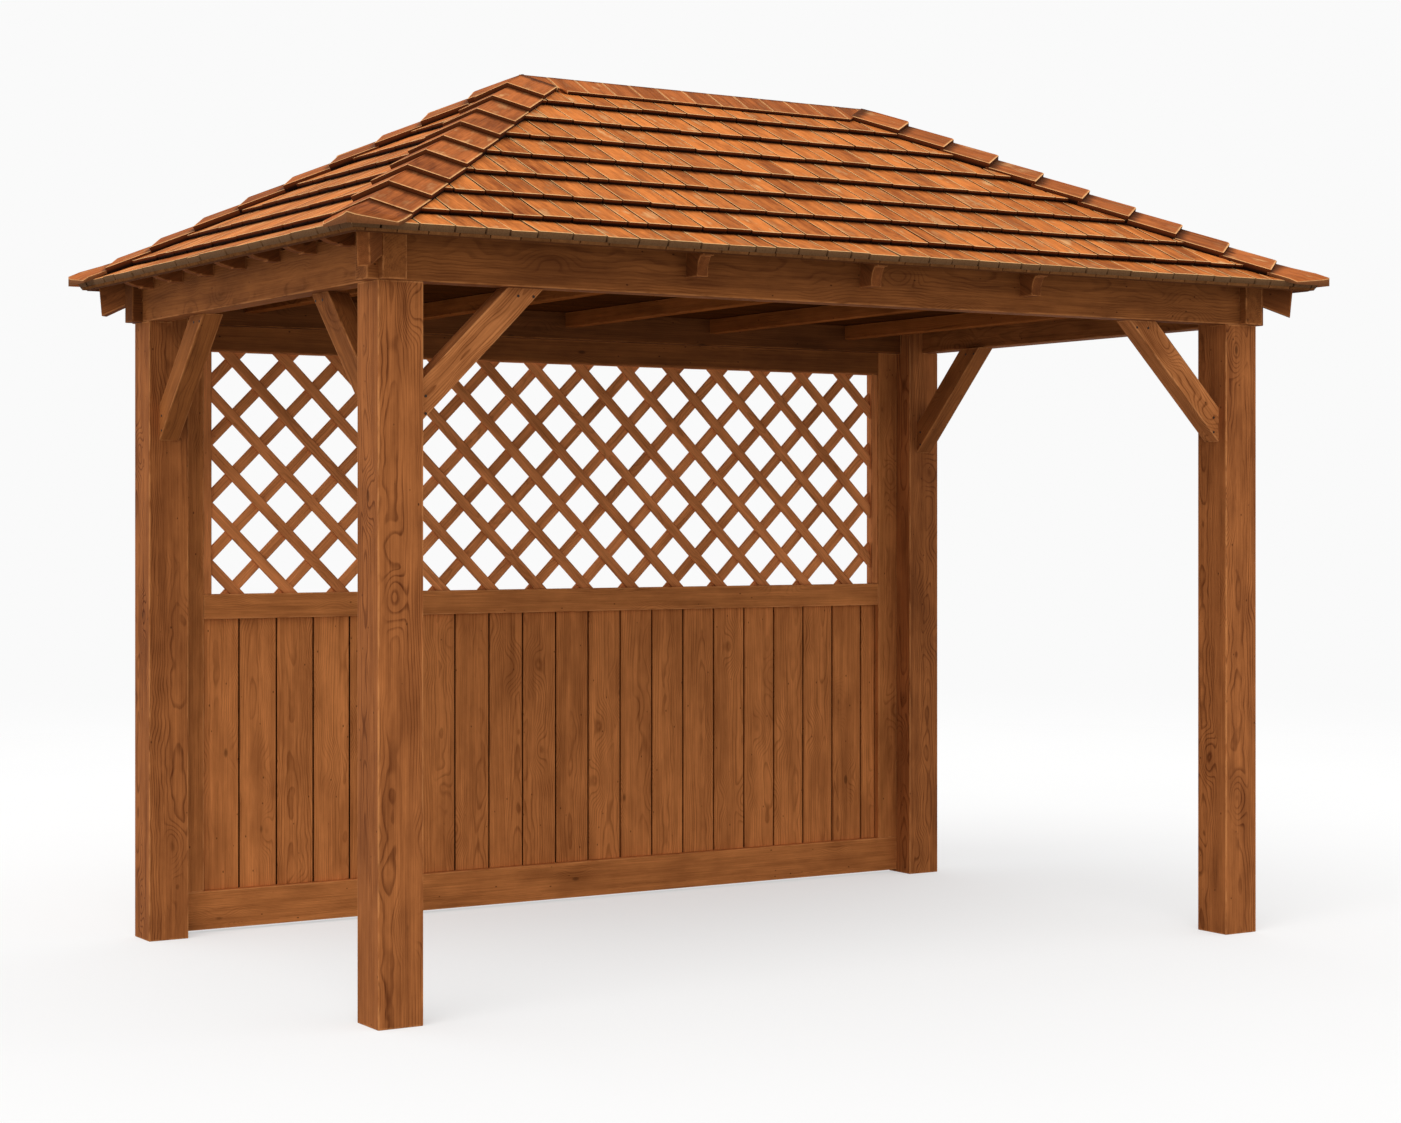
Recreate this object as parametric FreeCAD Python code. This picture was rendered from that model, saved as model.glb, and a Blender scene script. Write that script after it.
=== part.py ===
"""Cedar garden gazebo: four posts, lapped ring beams, knee braces, one closed side and a shingled hip roof.

Frame: +X runs along the open front from left to right, +Y runs towards the closed back, +Z is up.
The origin is on the ground, in the middle of the plan. Lengths are in millimetres.
"""
import FreeCAD
import Part
import math
import os

# Plan and posts
length_over_posts = 3330.0
depth_over_posts = 1960.0
post_size = 140.0
post_height = 2100.0

# Ring beams, which cross at the corners like laid logs
beam_thickness = 75.0
beam_height = 140.0
long_beam_overshoot = 35.0
side_beam_overshoot = 30.0

# Knee braces at 45 degrees
brace_outer_leg = 405.0
brace_inner_leg = 287.0
brace_thickness = 70.0
brace_setback = 35.0

# Ceiling between the ring beams
joist_width = 45.0
joist_depth = 54.0
joist_spacing = 637.0
ceiling_rise = 100.0
ceiling_board_thickness = 15.0
ceiling_board_width = 118.0

# Grooves that part the boards of a boarded sheet
groove_width = 4.0
groove_depth = 5.0
least_board_share = 0.05

# Closed back side: frame, boarding and lattice
panel_setback = 6.0
panel_thickness = 45.0
panel_ground_gap = 10.0
bottom_rail_height = 132.0
middle_rail_underside = 1083.0
middle_rail_height = 86.0
top_rail_height = 86.0
stile_width = 90.0
board_width = 140.0
board_thickness = 20.0
board_inset = 25.0
lattice_inset = 14.0
lattice_bar_width = 38.0
lattice_bar_thickness = 9.0
lattice_pitch = 200.0
lattice_first_crossing_x = 78.0
lattice_first_crossing_rise = 16.0
lattice_border_width = 30.0
lattice_border_inset = 5.0

# Roof frame
roof_pitch = 30.0
eave_overhang = 155.0
heel_height = 46.3
rafter_width = 38.0
rafter_depth = 118.0
common_rafter_spacing = 637.0
jack_rafter_spacing = 270.0
hip_rafter_depth = 106.0
hip_rafter_reach = 81.0
hip_rafter_lean = 5.5
ridge_board_depth = 160.0

# Shaped rafter tails outside the ring beams
front_tail_reach = 100.0
front_tail_underside = 52.0
front_tail_foot = 66.0
front_tail_cove_run = 18.0
front_tail_cove_rise = 60.0
side_tail_reach = 95.0
side_tail_underside = 105.0
side_tail_flat = 42.0
side_tail_quirk = 4.0
side_tail_nose_rise = 14.0

# Roof covering
deck_thickness = 18.0
deck_setback = 30.0
shingle_butt = 22.0
shingle_step = 15.0
starter_exposure = 115.0
shingle_exposure = 162.0
cap_width = 115.0
cap_butt = 16.0
cap_head = 2.0
first_cap_butt = 42.0
caps_per_hip = 10
cap_overhang = 20.0
ridge_cap_width = 108.0
ridge_cap_thickness = 14.0
ridge_cap_overhang = 15.0

# Sizes worked out from the ones above
half_length = length_over_posts / 2
half_depth = depth_over_posts / 2
beam_top = post_height + beam_height
inner_half_length = half_length - beam_thickness
inner_half_depth = half_depth - beam_thickness
bay_half_length = half_length - post_size
ceiling_underside = post_height + ceiling_rise
ceiling_top = ceiling_underside + ceiling_board_thickness
eave_half_length = half_length + eave_overhang
eave_half_depth = half_depth + eave_overhang
ridge_half_length = eave_half_length - eave_half_depth
pitch = math.radians(roof_pitch)
rafter_half = rafter_width / 2
deck_rise = deck_thickness / math.cos(pitch)
deck_underside_at_eave = beam_top + heel_height - eave_overhang * math.tan(pitch)
deck_top_at_eave = deck_underside_at_eave + deck_rise
rafter_plumb_depth = rafter_depth / math.cos(pitch)
hip_pitch = math.atan(math.tan(pitch) / math.sqrt(2))
hip_plumb_depth = hip_rafter_depth / math.cos(hip_pitch)
panel_back = half_depth - panel_setback
panel_front = panel_back - panel_thickness
opening_half_length = bay_half_length - stile_width
middle_rail_top = middle_rail_underside + middle_rail_height
top_rail_underside = post_height - top_rail_height
joists_each_side_of_middle = int((inner_half_length - joist_width) // joist_spacing)
commons_each_side_of_middle = int((ridge_half_length - rafter_half) // common_rafter_spacing)
jacks_each_side_of_middle = int((half_depth - rafter_width) // jack_rafter_spacing)
far = 4 * length_over_posts

os.makedirs("parts", exist_ok=True)


def export(name, shape):
    """Write one named piece of the gazebo."""
    shape.exportStep("parts/" + name + ".step")


def block(x_low, x_high, y_low, y_high, z_low, z_high):
    """A rectangular solid between two corners."""
    corner = FreeCAD.Vector(x_low, y_low, z_low)
    return Part.makeBox(x_high - x_low, y_high - y_low, z_high - z_low, corner)


def prism(points, push):
    """A solid swept from a closed outline of points along the vector push."""
    corners = [FreeCAD.Vector(*point) for point in points]
    outline = Part.makePolygon(corners + corners[:1])
    return Part.Face(outline).extrude(FreeCAD.Vector(*push))


def mirror_x(shape):
    """The piece on the other side, left for right."""
    return shape.mirror(FreeCAD.Vector(0, 0, 0), FreeCAD.Vector(1, 0, 0))


def mirror_y(shape):
    """The piece on the other side, front for back."""
    return shape.mirror(FreeCAD.Vector(0, 0, 0), FreeCAD.Vector(0, 1, 0))


def fused(shapes):
    """One solid from pieces that meet, without the seams left between them."""
    return shapes[0].multiFuse(shapes[1:]).removeSplitter()


def grooved_outline(width, thickness, board):
    """Section through boards laid side by side: (across, deep) points, with grooves in the near face."""
    outline = [(0, 0)]
    for step in range(1, math.ceil(width / board - least_board_share)):
        joint = step * board
        outline.append((joint - groove_width / 2, 0))
        outline.append((joint - groove_width / 2, groove_depth))
        outline.append((joint + groove_width / 2, groove_depth))
        outline.append((joint + groove_width / 2, 0))
    return outline + [(width, 0), (width, thickness), (0, thickness)]


# Posts and ring beams
def post():
    """The front left post, cut back at its head so that the lapped beams sit in it."""
    shaft = block(-half_length, -bay_half_length, -half_depth, post_size - half_depth, 0, post_height)
    tongue = block(
        -inner_half_length, -bay_half_length, -inner_half_depth, post_size - half_depth,
        post_height, ceiling_underside,
    )
    return fused([shaft, tongue])


def beam_front():
    """The front beam, halved from above where the side beams cross it."""
    reach = half_length + long_beam_overshoot
    beam = block(-reach, reach, -half_depth, -inner_half_depth, post_height, beam_top)
    halving = block(
        -half_length, -inner_half_length, -half_depth, -inner_half_depth,
        post_height + beam_height / 2, beam_top,
    )
    return beam.cut(halving).cut(mirror_x(halving))


def beam_left():
    """The left beam, halved from below where the long beams pass under it."""
    reach = half_depth + side_beam_overshoot
    beam = block(-half_length, -inner_half_length, -reach, reach, post_height, beam_top)
    halving = block(
        -half_length, -inner_half_length, -half_depth, -inner_half_depth,
        post_height, post_height + beam_height / 2,
    )
    return beam.cut(halving).cut(mirror_y(halving))


# Knee braces
def brace_outline():
    """The brace seen flat: distances from the post's face and up from the beam's underside."""
    return [
        (0, -brace_outer_leg),
        (0, -brace_inner_leg),
        (brace_inner_leg, 0),
        (brace_outer_leg, 0),
    ]


def brace_under_front_beam():
    """The brace from the front left post to the front beam."""
    y = -half_depth + brace_setback
    outline = [(-bay_half_length + out, y, post_height + up) for out, up in brace_outline()]
    return prism(outline, (0, brace_thickness, 0))


def brace_under_left_beam():
    """The brace from the front left post to the left beam."""
    x = -half_length + brace_setback
    post_face = post_size - half_depth
    outline = [(x, post_face + out, post_height + up) for out, up in brace_outline()]
    return prism(outline, (brace_thickness, 0, 0))


# Closed back side
def panel_bottom_rail():
    """The rail just above the ground, between the back posts, which the stiles stand on."""
    return block(
        -bay_half_length, bay_half_length, panel_front, panel_back,
        panel_ground_gap, panel_ground_gap + bottom_rail_height,
    )


def panel_rail(underside, height):
    """A rail between the two stiles."""
    return block(
        -opening_half_length, opening_half_length, panel_front, panel_back, underside, underside + height,
    )


def panel_left_stile():
    """The upright beside the back left post."""
    return block(
        -bay_half_length, -opening_half_length, panel_front, panel_back,
        panel_ground_gap + bottom_rail_height, post_height,
    )


def panel_boards():
    """Upright boards below the middle rail, grooved at their joints on the side that faces the room."""
    low = panel_ground_gap + bottom_rail_height
    left = -opening_half_length
    front = panel_front + board_inset
    section = grooved_outline(2 * opening_half_length, board_thickness, board_width)
    outline = [(left + across, front + deep, low) for across, deep in section]
    return prism(outline, (0, 0, middle_rail_underside - low))


def lattice_layer(y_front, direction):
    """Parallel diagonal bars that fill the opening: direction 1 rises to the right, -1 to the left."""
    bars = []
    low = middle_rail_top
    high = top_rail_underside
    half_cut = lattice_bar_width / math.sqrt(2)
    rise = high - low
    anchor = lattice_first_crossing_x - direction * lattice_first_crossing_rise
    steps = math.ceil((opening_half_length + rise) / lattice_pitch) + 1
    for step in range(-steps, steps + 1):
        x = anchor + step * lattice_pitch
        outline = [
            (x - half_cut, y_front, low),
            (x + half_cut, y_front, low),
            (x + half_cut + direction * rise, y_front, high),
            (x - half_cut + direction * rise, y_front, high),
        ]
        if max(point[0] for point in outline) < -opening_half_length:
            continue
        if min(point[0] for point in outline) > opening_half_length:
            continue
        bars.append(prism(outline, (0, lattice_bar_thickness, 0)))
    return bars


def lattice():
    """Two layers of diagonal bars fixed where they cross, inside a thin border of their own."""
    y_front = panel_front + lattice_inset
    y_middle = y_front + lattice_bar_thickness
    window = block(
        -opening_half_length, opening_half_length, panel_front, panel_back,
        middle_rail_top, top_rail_underside,
    )
    bars = fused(lattice_layer(y_front, -1) + lattice_layer(y_middle, 1)).common(window)
    border = block(
        -opening_half_length, opening_half_length,
        panel_front + lattice_border_inset, panel_back - lattice_border_inset,
        middle_rail_top, top_rail_underside,
    )
    hole = block(
        lattice_border_width - opening_half_length, opening_half_length - lattice_border_width,
        panel_front, panel_back,
        middle_rail_top, top_rail_underside - lattice_border_width,
    )
    return fused([border.cut(hole), bars])


# Ceiling
def ceiling_joists():
    """Joists from front beam to back beam, under the ceiling boards."""
    joists = []
    for step in range(-joists_each_side_of_middle, joists_each_side_of_middle + 1):
        x = step * joist_spacing
        joists.append(block(
            x - joist_width / 2, x + joist_width / 2, -inner_half_depth, inner_half_depth,
            ceiling_underside - joist_depth, ceiling_underside,
        ))
    return Part.makeCompound(joists)


def ceiling_boards():
    """Boards laid along the gazebo on the joists, grooved below at their joints."""
    left = -inner_half_length
    section = grooved_outline(2 * inner_half_depth, ceiling_board_thickness, ceiling_board_width)
    outline = [(left, across - inner_half_depth, ceiling_underside + deep) for across, deep in section]
    return prism(outline, (2 * inner_half_length, 0, 0))


# Roof slopes: worked out as (run, height), with the run measured level from the shingles' eave edge
def deck_underside(run):
    """Height of the deck's underside at a run in from the eave."""
    return deck_underside_at_eave + run * math.tan(pitch)


def on_slope(up, out):
    """The (run, height) of a point: up along the slope and out from the top of the deck."""
    run = up * math.cos(pitch) - out * math.sin(pitch)
    height = deck_top_at_eave + up * math.sin(pitch) + out * math.cos(pitch)
    return run, height


def up_at_run(run, out):
    """How far up the slope a point lies, for its run and its distance out from the deck."""
    return (run + out * math.sin(pitch)) / math.cos(pitch)


def onto_side(shape, side):
    """Turn a piece made with its eave along X at y = 0 and its run along +Y onto one side of the roof."""
    turns = {"front": 0, "right": 90, "back": 180, "left": 270}
    moves = {
        "front": (0, -eave_half_depth),
        "right": (eave_half_length, 0),
        "back": (0, eave_half_depth),
        "left": (-eave_half_length, 0),
    }
    placed = shape.copy()
    placed.rotate(FreeCAD.Vector(0, 0, 0), FreeCAD.Vector(0, 0, 1), turns[side])
    x, y = moves[side]
    return placed.translate(FreeCAD.Vector(x, y, 0))


def eave_half(side):
    """Half the length of the eave on one side."""
    return eave_half_length if side in ("front", "back") else eave_half_depth


def slope_plan(side, inset):
    """The plan of one slope as a tall prism, a trapezium or at the ends a triangle, inset from the hips."""
    half = eave_half(side) - inset
    top = max(half - eave_half_depth, 0)
    depth = half - top
    points = [(-half, 0, 0), (half, 0, 0), (top, depth, 0)]
    if top > 0:
        points.append((-top, depth, 0))
    return prism(points, (0, 0, far))


def slope_layer(side, outline):
    """One layer of a slope: an outline of (run, height) run along the eave and mitred at the hips."""
    half = eave_half(side)
    strip = prism([(-half, run, height) for run, height in outline], (2 * half, 0, 0))
    return onto_side(strip.common(slope_plan(side, 0)), side)


def above_deck(side):
    """The space above the deck's underside on one side, used to trim what carries the deck."""
    half = eave_half(side) + post_size
    outline = [
        (-half, -eave_overhang, deck_underside(-eave_overhang)),
        (-half, 2 * eave_half_depth, deck_underside(2 * eave_half_depth)),
        (-half, 2 * eave_half_depth, far),
        (-half, -eave_overhang, far),
    ]
    return onto_side(prism(outline, (2 * half, 0, 0)), side)


# Rafters
def front_tail(start):
    """Lower edge of a tail on the long sides: a foot, a hollow cove and a nose. Runs outward from start."""
    face = eave_overhang
    low = post_height + front_tail_underside
    cove_in = face - front_tail_foot
    cove_out = cove_in - front_tail_cove_run
    tip = face - front_tail_reach
    high = low + front_tail_cove_rise
    diagonal = math.sin(math.radians(45))
    through = (cove_in - (1 - diagonal) * front_tail_cove_run, low + diagonal * front_tail_cove_rise)
    return [
        line_edge(start, (face, low)),
        line_edge((face, low), (cove_in, low)),
        arc_edge((cove_in, low), through, (cove_out, high)),
        line_edge((cove_out, high), (tip, high)),
        line_edge((tip, high), (tip, deck_underside(tip))),
    ]


def side_tail(start):
    """Lower edge of a tail on the short sides: a flat, a small quirk and a rounded nose."""
    face = eave_overhang
    low = post_height + side_tail_underside
    quirk = face - side_tail_flat
    tip = face - side_tail_reach
    belly = low + side_tail_quirk
    nose = belly + side_tail_nose_rise
    through = ((quirk + tip) / 2, belly + side_tail_nose_rise / 4)
    return [
        line_edge(start, (face, low)),
        line_edge((face, low), (quirk, low)),
        line_edge((quirk, low), (quirk, belly)),
        arc_edge((quirk, belly), through, (tip, nose)),
        line_edge((tip, nose), (tip, deck_underside(tip))),
    ]


def line_edge(start, end):
    """A straight edge in the plane of run and height."""
    return Part.LineSegment(FreeCAD.Vector(0, *start), FreeCAD.Vector(0, *end)).toShape()


def arc_edge(start, through, end):
    """An arc in the plane of run and height."""
    points = [FreeCAD.Vector(0, *point) for point in (start, through, end)]
    return Part.Arc(*points).toShape()


def rafter(position, end_run, tail):
    """One rafter seated on its beam, at a position along the eave, with its top cut plumb at end_run."""
    beam_face = eave_overhang
    beam_back = beam_face + beam_thickness
    seat_front = (beam_face, beam_top)
    seat_back = (beam_back, beam_top)
    heel_low = max(deck_underside(beam_back) - rafter_plumb_depth, ceiling_top)
    level_rise = max(ceiling_top + rafter_plumb_depth - deck_underside(beam_back), 0)
    level_run = beam_back + level_rise / math.tan(pitch)
    edges = tail(seat_front)
    tip_top = edges[-1].Vertexes[-1].Point
    top_start = (tip_top.y, tip_top.z)
    top_end = (end_run, deck_underside(end_run))
    low_end = (end_run, deck_underside(end_run) - rafter_plumb_depth)
    edges.append(line_edge(top_start, top_end))
    edges.append(line_edge(top_end, low_end))
    if level_run > beam_back:
        edges.append(line_edge(low_end, (level_run, heel_low)))
        edges.append(line_edge((level_run, heel_low), (beam_back, heel_low)))
    else:
        edges.append(line_edge(low_end, (beam_back, heel_low)))
    edges.append(line_edge((beam_back, heel_low), seat_back))
    edges.append(line_edge(seat_back, seat_front))
    face = Part.Face(Part.Wire(Part.__sortEdges__(edges)))
    solid = face.extrude(FreeCAD.Vector(rafter_width, 0, 0))
    return solid.translate(FreeCAD.Vector(position - rafter_half, 0, 0))


def rafters_long_side(side):
    """Common rafters of a long side, from their shaped tails to the ridge board."""
    plan = slope_plan(side, rafter_half * math.sqrt(2))
    end_run = eave_half_depth - rafter_half
    rafters = []
    for step in range(-commons_each_side_of_middle, commons_each_side_of_middle + 1):
        solid = rafter(step * common_rafter_spacing, end_run, front_tail)
        rafters.append(onto_side(solid.common(plan), side))
    return Part.makeCompound(rafters)


def rafters_short_side(side):
    """The middle rafter of a short side up to the ridge, and jack rafters up to the hips."""
    plan = slope_plan(side, rafter_half * math.sqrt(2))
    middle = onto_side(rafter(0, eave_half_depth, side_tail), side)
    rafters = [middle.cut(above_deck("front")).cut(above_deck("back"))]
    for step in range(1, jacks_each_side_of_middle + 1):
        for position in (-step * jack_rafter_spacing, step * jack_rafter_spacing):
            jack = rafter(position, eave_half_depth, side_tail)
            rafters.append(onto_side(jack.common(plan), side))
    return Part.makeCompound(rafters)


def hip_rafter(beams, ceiling):
    """The front left hip rafter, notched over the lapped beams and bevelled under the two decks."""
    end = (eave_overhang - hip_rafter_reach) * math.sqrt(2)
    top_out = hip_plumb_depth * math.tan(math.radians(hip_rafter_lean))
    finish = eave_half_depth * math.sqrt(2)
    slope = math.tan(hip_pitch)

    def underside(distance):
        return deck_underside_at_eave + distance * slope - hip_plumb_depth

    outline = [
        (end, underside(end)),
        (finish, underside(finish)),
        (finish, underside(finish) + 2 * hip_plumb_depth),
        (end - top_out, underside(end) + 2 * hip_plumb_depth),
        (end - top_out, underside(end) + hip_plumb_depth),
    ]
    bar = prism([(along, -rafter_half, height) for along, height in outline], (0, rafter_width, 0))
    bar.rotate(FreeCAD.Vector(0, 0, 0), FreeCAD.Vector(0, 0, 1), 45)
    bar.translate(FreeCAD.Vector(-eave_half_length, -eave_half_depth, 0))
    ridge_space = block(-far, far, -rafter_half, far, 0, far)
    for cutter in [above_deck("front"), above_deck("left"), ridge_space, ceiling] + beams:
        bar = bar.cut(cutter)
    return bar


def ridge_board():
    """The board that the rafters meet at the top, bevelled to the two long slopes."""
    apex = deck_underside(eave_half_depth)
    board = block(
        -ridge_half_length, ridge_half_length, -rafter_half, rafter_half,
        apex - ridge_board_depth, apex,
    )
    return board.cut(above_deck("front")).cut(above_deck("back"))


# Roof covering
def roof_deck(side):
    """The boarding of one slope, set back from the shingles' edge."""
    start = up_at_run(deck_setback, -deck_thickness)
    outline = [
        on_slope(start, -deck_thickness),
        on_slope(up_at_run(eave_half_depth, -deck_thickness), -deck_thickness),
        on_slope(up_at_run(eave_half_depth, 0), 0),
        on_slope(start, 0),
    ]
    return slope_layer(side, outline)


def ridge_end():
    """Where the top face of the last course meets the ridge: how far up, and how far out."""
    out = shingle_butt - shingle_step
    return up_at_run(eave_half_depth, out), out


def course_starts():
    """How far up the slope each course of shingles begins, up to the last that shows below the ridge cap."""
    first = up_at_run(0, shingle_butt)
    second = first + starter_exposure
    covered = ridge_end()[0] - ridge_cap_width - second
    courses = math.ceil(covered / shingle_exposure)
    return [first] + [second + step * shingle_exposure for step in range(courses)]


def shingles(side):
    """One slope of lapped shingle courses, each stepped down behind the butt of the next."""
    starts = course_starts()
    outline = [on_slope(starts[0], 0)]
    for start, finish in zip(starts, starts[1:]):
        outline.append(on_slope(start, shingle_butt))
        outline.append(on_slope(finish, shingle_butt - shingle_step))
    outline.append(on_slope(starts[-1], shingle_butt))
    outline.append(on_slope(*ridge_end()))
    outline.append(on_slope(up_at_run(eave_half_depth, 0), 0))
    return slope_layer(side, outline)


def ridge_cap():
    """Boards laid in pairs over the ridge, on the last course of each long slope."""
    top, top_out = ridge_end()
    low = top - ridge_cap_width
    low_out = top_out + shingle_step * ridge_cap_width / (top - course_starts()[-1])
    above = top_out + ridge_cap_thickness
    outline = [
        on_slope(low, low_out),
        on_slope(top, top_out),
        on_slope(up_at_run(eave_half_depth, above), above),
        on_slope(low, low_out + ridge_cap_thickness),
    ]
    half = ridge_half_length + ridge_cap_overhang
    strip = prism([(-half, run, height) for run, height in outline], (2 * half, 0, 0))
    front = onto_side(strip, "front")
    return fused([front, mirror_y(front)])


def hip_cap_strip():
    """The stepped caps of one hip on the front slope, with the eave corner at the origin."""
    lean = math.cos(pitch)
    size = math.sqrt(1 + lean * lean)
    along = FreeCAD.Vector(lean, math.cos(pitch), math.sin(pitch)) / size
    normal = FreeCAD.Vector(0, -math.sin(pitch), math.cos(pitch))
    across = along.cross(normal)
    hip_length = eave_half_depth * math.sqrt(2) / math.cos(hip_pitch)
    exposure = hip_length / caps_per_hip
    past_apex = hip_length + exposure / 2
    outline = [(-cap_width, shingle_butt), (-cap_width, shingle_butt + first_cap_butt)]
    outline.append((exposure, shingle_butt + cap_head))
    for step in range(1, caps_per_hip):
        outline.append((step * exposure, shingle_butt + cap_butt))
        outline.append(((step + 1) * exposure, shingle_butt + cap_head))
    outline.append((past_apex, shingle_butt + cap_head))
    outline.append((past_apex, shingle_butt))
    start = FreeCAD.Vector(0, 0, deck_top_at_eave) - across * cap_width
    points = [start + along * distance + normal * out for distance, out in outline]
    corners = [(point.x, point.y, point.z) for point in points]
    push = across * (2 * cap_width)
    return prism(corners, (push.x, push.y, push.z))


def hip_caps(ridge):
    """Caps of the front left hip: pairs of boards that meet over the hip, lapped up to the ridge cap."""
    strip = hip_cap_strip()
    plan = prism(
        [
            (-cap_overhang, -cap_overhang, 0),
            (eave_half_depth, eave_half_depth, 0),
            (eave_half_depth + 2 * cap_width, eave_half_depth, 0),
            (eave_half_depth + 2 * cap_width, -cap_overhang, 0),
        ],
        (0, 0, far),
    )
    front = strip.common(plan)
    left = front.mirror(FreeCAD.Vector(0, 0, 0), FreeCAD.Vector(1, -1, 0))
    pair = fused([front, left])
    pair.translate(FreeCAD.Vector(-eave_half_length, -eave_half_depth, 0))
    behind = block(-far, far, 0, far, 0, far)
    return pair.cut(behind).cut(ridge)


def build():
    """Make and export every piece."""
    post_front_left = post()
    export("post_front_left", post_front_left)
    export("post_front_right", mirror_x(post_front_left))
    export("post_back_left", mirror_y(post_front_left))
    export("post_back_right", mirror_x(mirror_y(post_front_left)))

    front_beam = beam_front()
    left_beam = beam_left()
    export("beam_front", front_beam)
    export("beam_back", mirror_y(front_beam))
    export("beam_left", left_beam)
    export("beam_right", mirror_x(left_beam))

    front_brace = brace_under_front_beam()
    side_brace = brace_under_left_beam()
    export("brace_front_left", front_brace)
    export("brace_front_right", mirror_x(front_brace))
    export("brace_left_front", side_brace)
    export("brace_left_back", mirror_y(side_brace))
    export("brace_right_front", mirror_x(side_brace))
    export("brace_right_back", mirror_x(mirror_y(side_brace)))

    left_stile = panel_left_stile()
    export("panel_bottom_rail", panel_bottom_rail())
    export("panel_middle_rail", panel_rail(middle_rail_underside, middle_rail_height))
    export("panel_top_rail", panel_rail(top_rail_underside, top_rail_height))
    export("panel_left_stile", left_stile)
    export("panel_right_stile", mirror_x(left_stile))
    export("panel_boards", panel_boards())
    export("lattice", lattice())

    joists = ceiling_joists()
    boards = ceiling_boards()
    export("ceiling_joists", joists)
    export("ceiling_boards", boards)

    for side in ("front", "back"):
        export("rafters_" + side, rafters_long_side(side))
    for side in ("left", "right"):
        export("rafters_" + side, rafters_short_side(side))
    hip = hip_rafter([front_beam, left_beam], boards)
    export("hip_rafter_front_left", hip)
    export("hip_rafter_front_right", mirror_x(hip))
    export("hip_rafter_back_left", mirror_y(hip))
    export("hip_rafter_back_right", mirror_x(mirror_y(hip)))
    export("ridge_board", ridge_board())

    for side in ("front", "back", "left", "right"):
        export("roof_deck_" + side, roof_deck(side))
        export("shingles_" + side, shingles(side))
    ridge = ridge_cap()
    caps = hip_caps(ridge)
    export("ridge_cap", ridge)
    export("hip_caps_front_left", caps)
    export("hip_caps_front_right", mirror_x(caps))
    export("hip_caps_back_left", mirror_y(caps))
    export("hip_caps_back_right", mirror_x(mirror_y(caps)))


build()
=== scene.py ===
"""Cedar garden gazebo: timbers, boards, lattice, shingles and caps dressed over the CAD frame, in metres."""
import bpy
import bmesh
import math
import random
from mathutils import Matrix, Vector


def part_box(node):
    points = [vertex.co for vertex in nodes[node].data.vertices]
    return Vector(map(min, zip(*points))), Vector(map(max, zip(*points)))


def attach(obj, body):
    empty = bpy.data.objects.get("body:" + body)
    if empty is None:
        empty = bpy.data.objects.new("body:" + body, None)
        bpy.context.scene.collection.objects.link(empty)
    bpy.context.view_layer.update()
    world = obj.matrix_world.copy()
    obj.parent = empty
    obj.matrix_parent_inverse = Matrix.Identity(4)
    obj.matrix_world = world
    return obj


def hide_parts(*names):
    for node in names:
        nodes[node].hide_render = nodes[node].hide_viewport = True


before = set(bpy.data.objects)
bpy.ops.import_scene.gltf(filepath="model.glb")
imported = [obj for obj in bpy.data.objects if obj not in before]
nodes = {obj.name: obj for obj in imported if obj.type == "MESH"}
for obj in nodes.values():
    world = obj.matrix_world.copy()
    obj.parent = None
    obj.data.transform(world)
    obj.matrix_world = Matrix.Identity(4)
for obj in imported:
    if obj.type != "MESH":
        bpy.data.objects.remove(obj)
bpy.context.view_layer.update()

# Roof, as the frame has it
roof_pitch = math.radians(30)
eave_half_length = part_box("shingles_front")[1].x
eave_half_depth = -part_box("shingles_front")[0].y
ridge_half_length = eave_half_length - eave_half_depth
deck_thickness = 0.018
deck_setback = 0.030
deck_start = (deck_setback - deck_thickness * math.sin(roof_pitch)) / math.cos(roof_pitch)
deck_rise_at_start = deck_start * math.sin(roof_pitch)
deck_top_at_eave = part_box("roof_deck_front")[0].z + deck_thickness * math.cos(roof_pitch) - deck_rise_at_start
slope_turns = {"front": 0, "right": 90, "back": 180, "left": 270}

# Shingles
shingle_butt = 0.022
shingle_step = 0.015
shingle_exposure = 0.162
starter_exposure = 0.115
shingle_courses = 8
shingle_columns = 46
shingle_columns_at_ends = 30
starter_drop = 0.009
starter_reach = 0.020
starter_pitch = 0.096
starter_shift = 0.045
starter_joint = 0.004
starter_gap = 0.002

# Caps over the hips and the ridge
caps_per_hip = 10
cap_width = 0.115
cap_spare = 0.03
cap_thickness = 0.014
cap_sunk = 0.010
cap_clearance = 0.004
cap_overhang = 0.020
lowest_cap_at_arris = 0.038
lowest_cap_at_edge = 0.018
lowest_cap_head_share = 0.3
ridge_cap_width = 0.108
ridge_board_pitch = 0.105
ridge_board_joint = 0.002
ridge_past_hips = 0.015
ridge_spare = 0.03
ridge_lift = 0.0025
ridge_end_cut = 0.012

# Boards, lattice and edges
panel_board_pitch = 0.140
panel_board_joint = 0.007
tongue_behind = 0.008
tongue_front = 0.014
ceiling_board_pitch = 0.118
ceiling_board_joint = 0.004
bar_pitch = 0.200
bar_width = 0.038
bar_thickness = 0.009
bar_first = 0.078
bar_offset = 0.016
bar_spare = 0.06
lattice_border = 0.030
lattice_top_border = 0.004
worn_band = 0.004
fine_edge = 0.0025

# Braces, with the way each rises, and its screws: how far out from the post and down from its top
brace_runs = {
    "brace_front_left": (1, 0, 1), "brace_front_right": (-1, 0, 1),
    "brace_left_front": (0, 1, 1), "brace_left_back": (0, -1, 1),
    "brace_right_front": (0, 1, 1), "brace_right_back": (0, -1, 1),
}
brace_screws = ((0.321, 0.024), (0.371, 0.024), (0.024, 0.321), (0.024, 0.371))
screw_diameter = 0.009
screw_height = 0.0012


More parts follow.
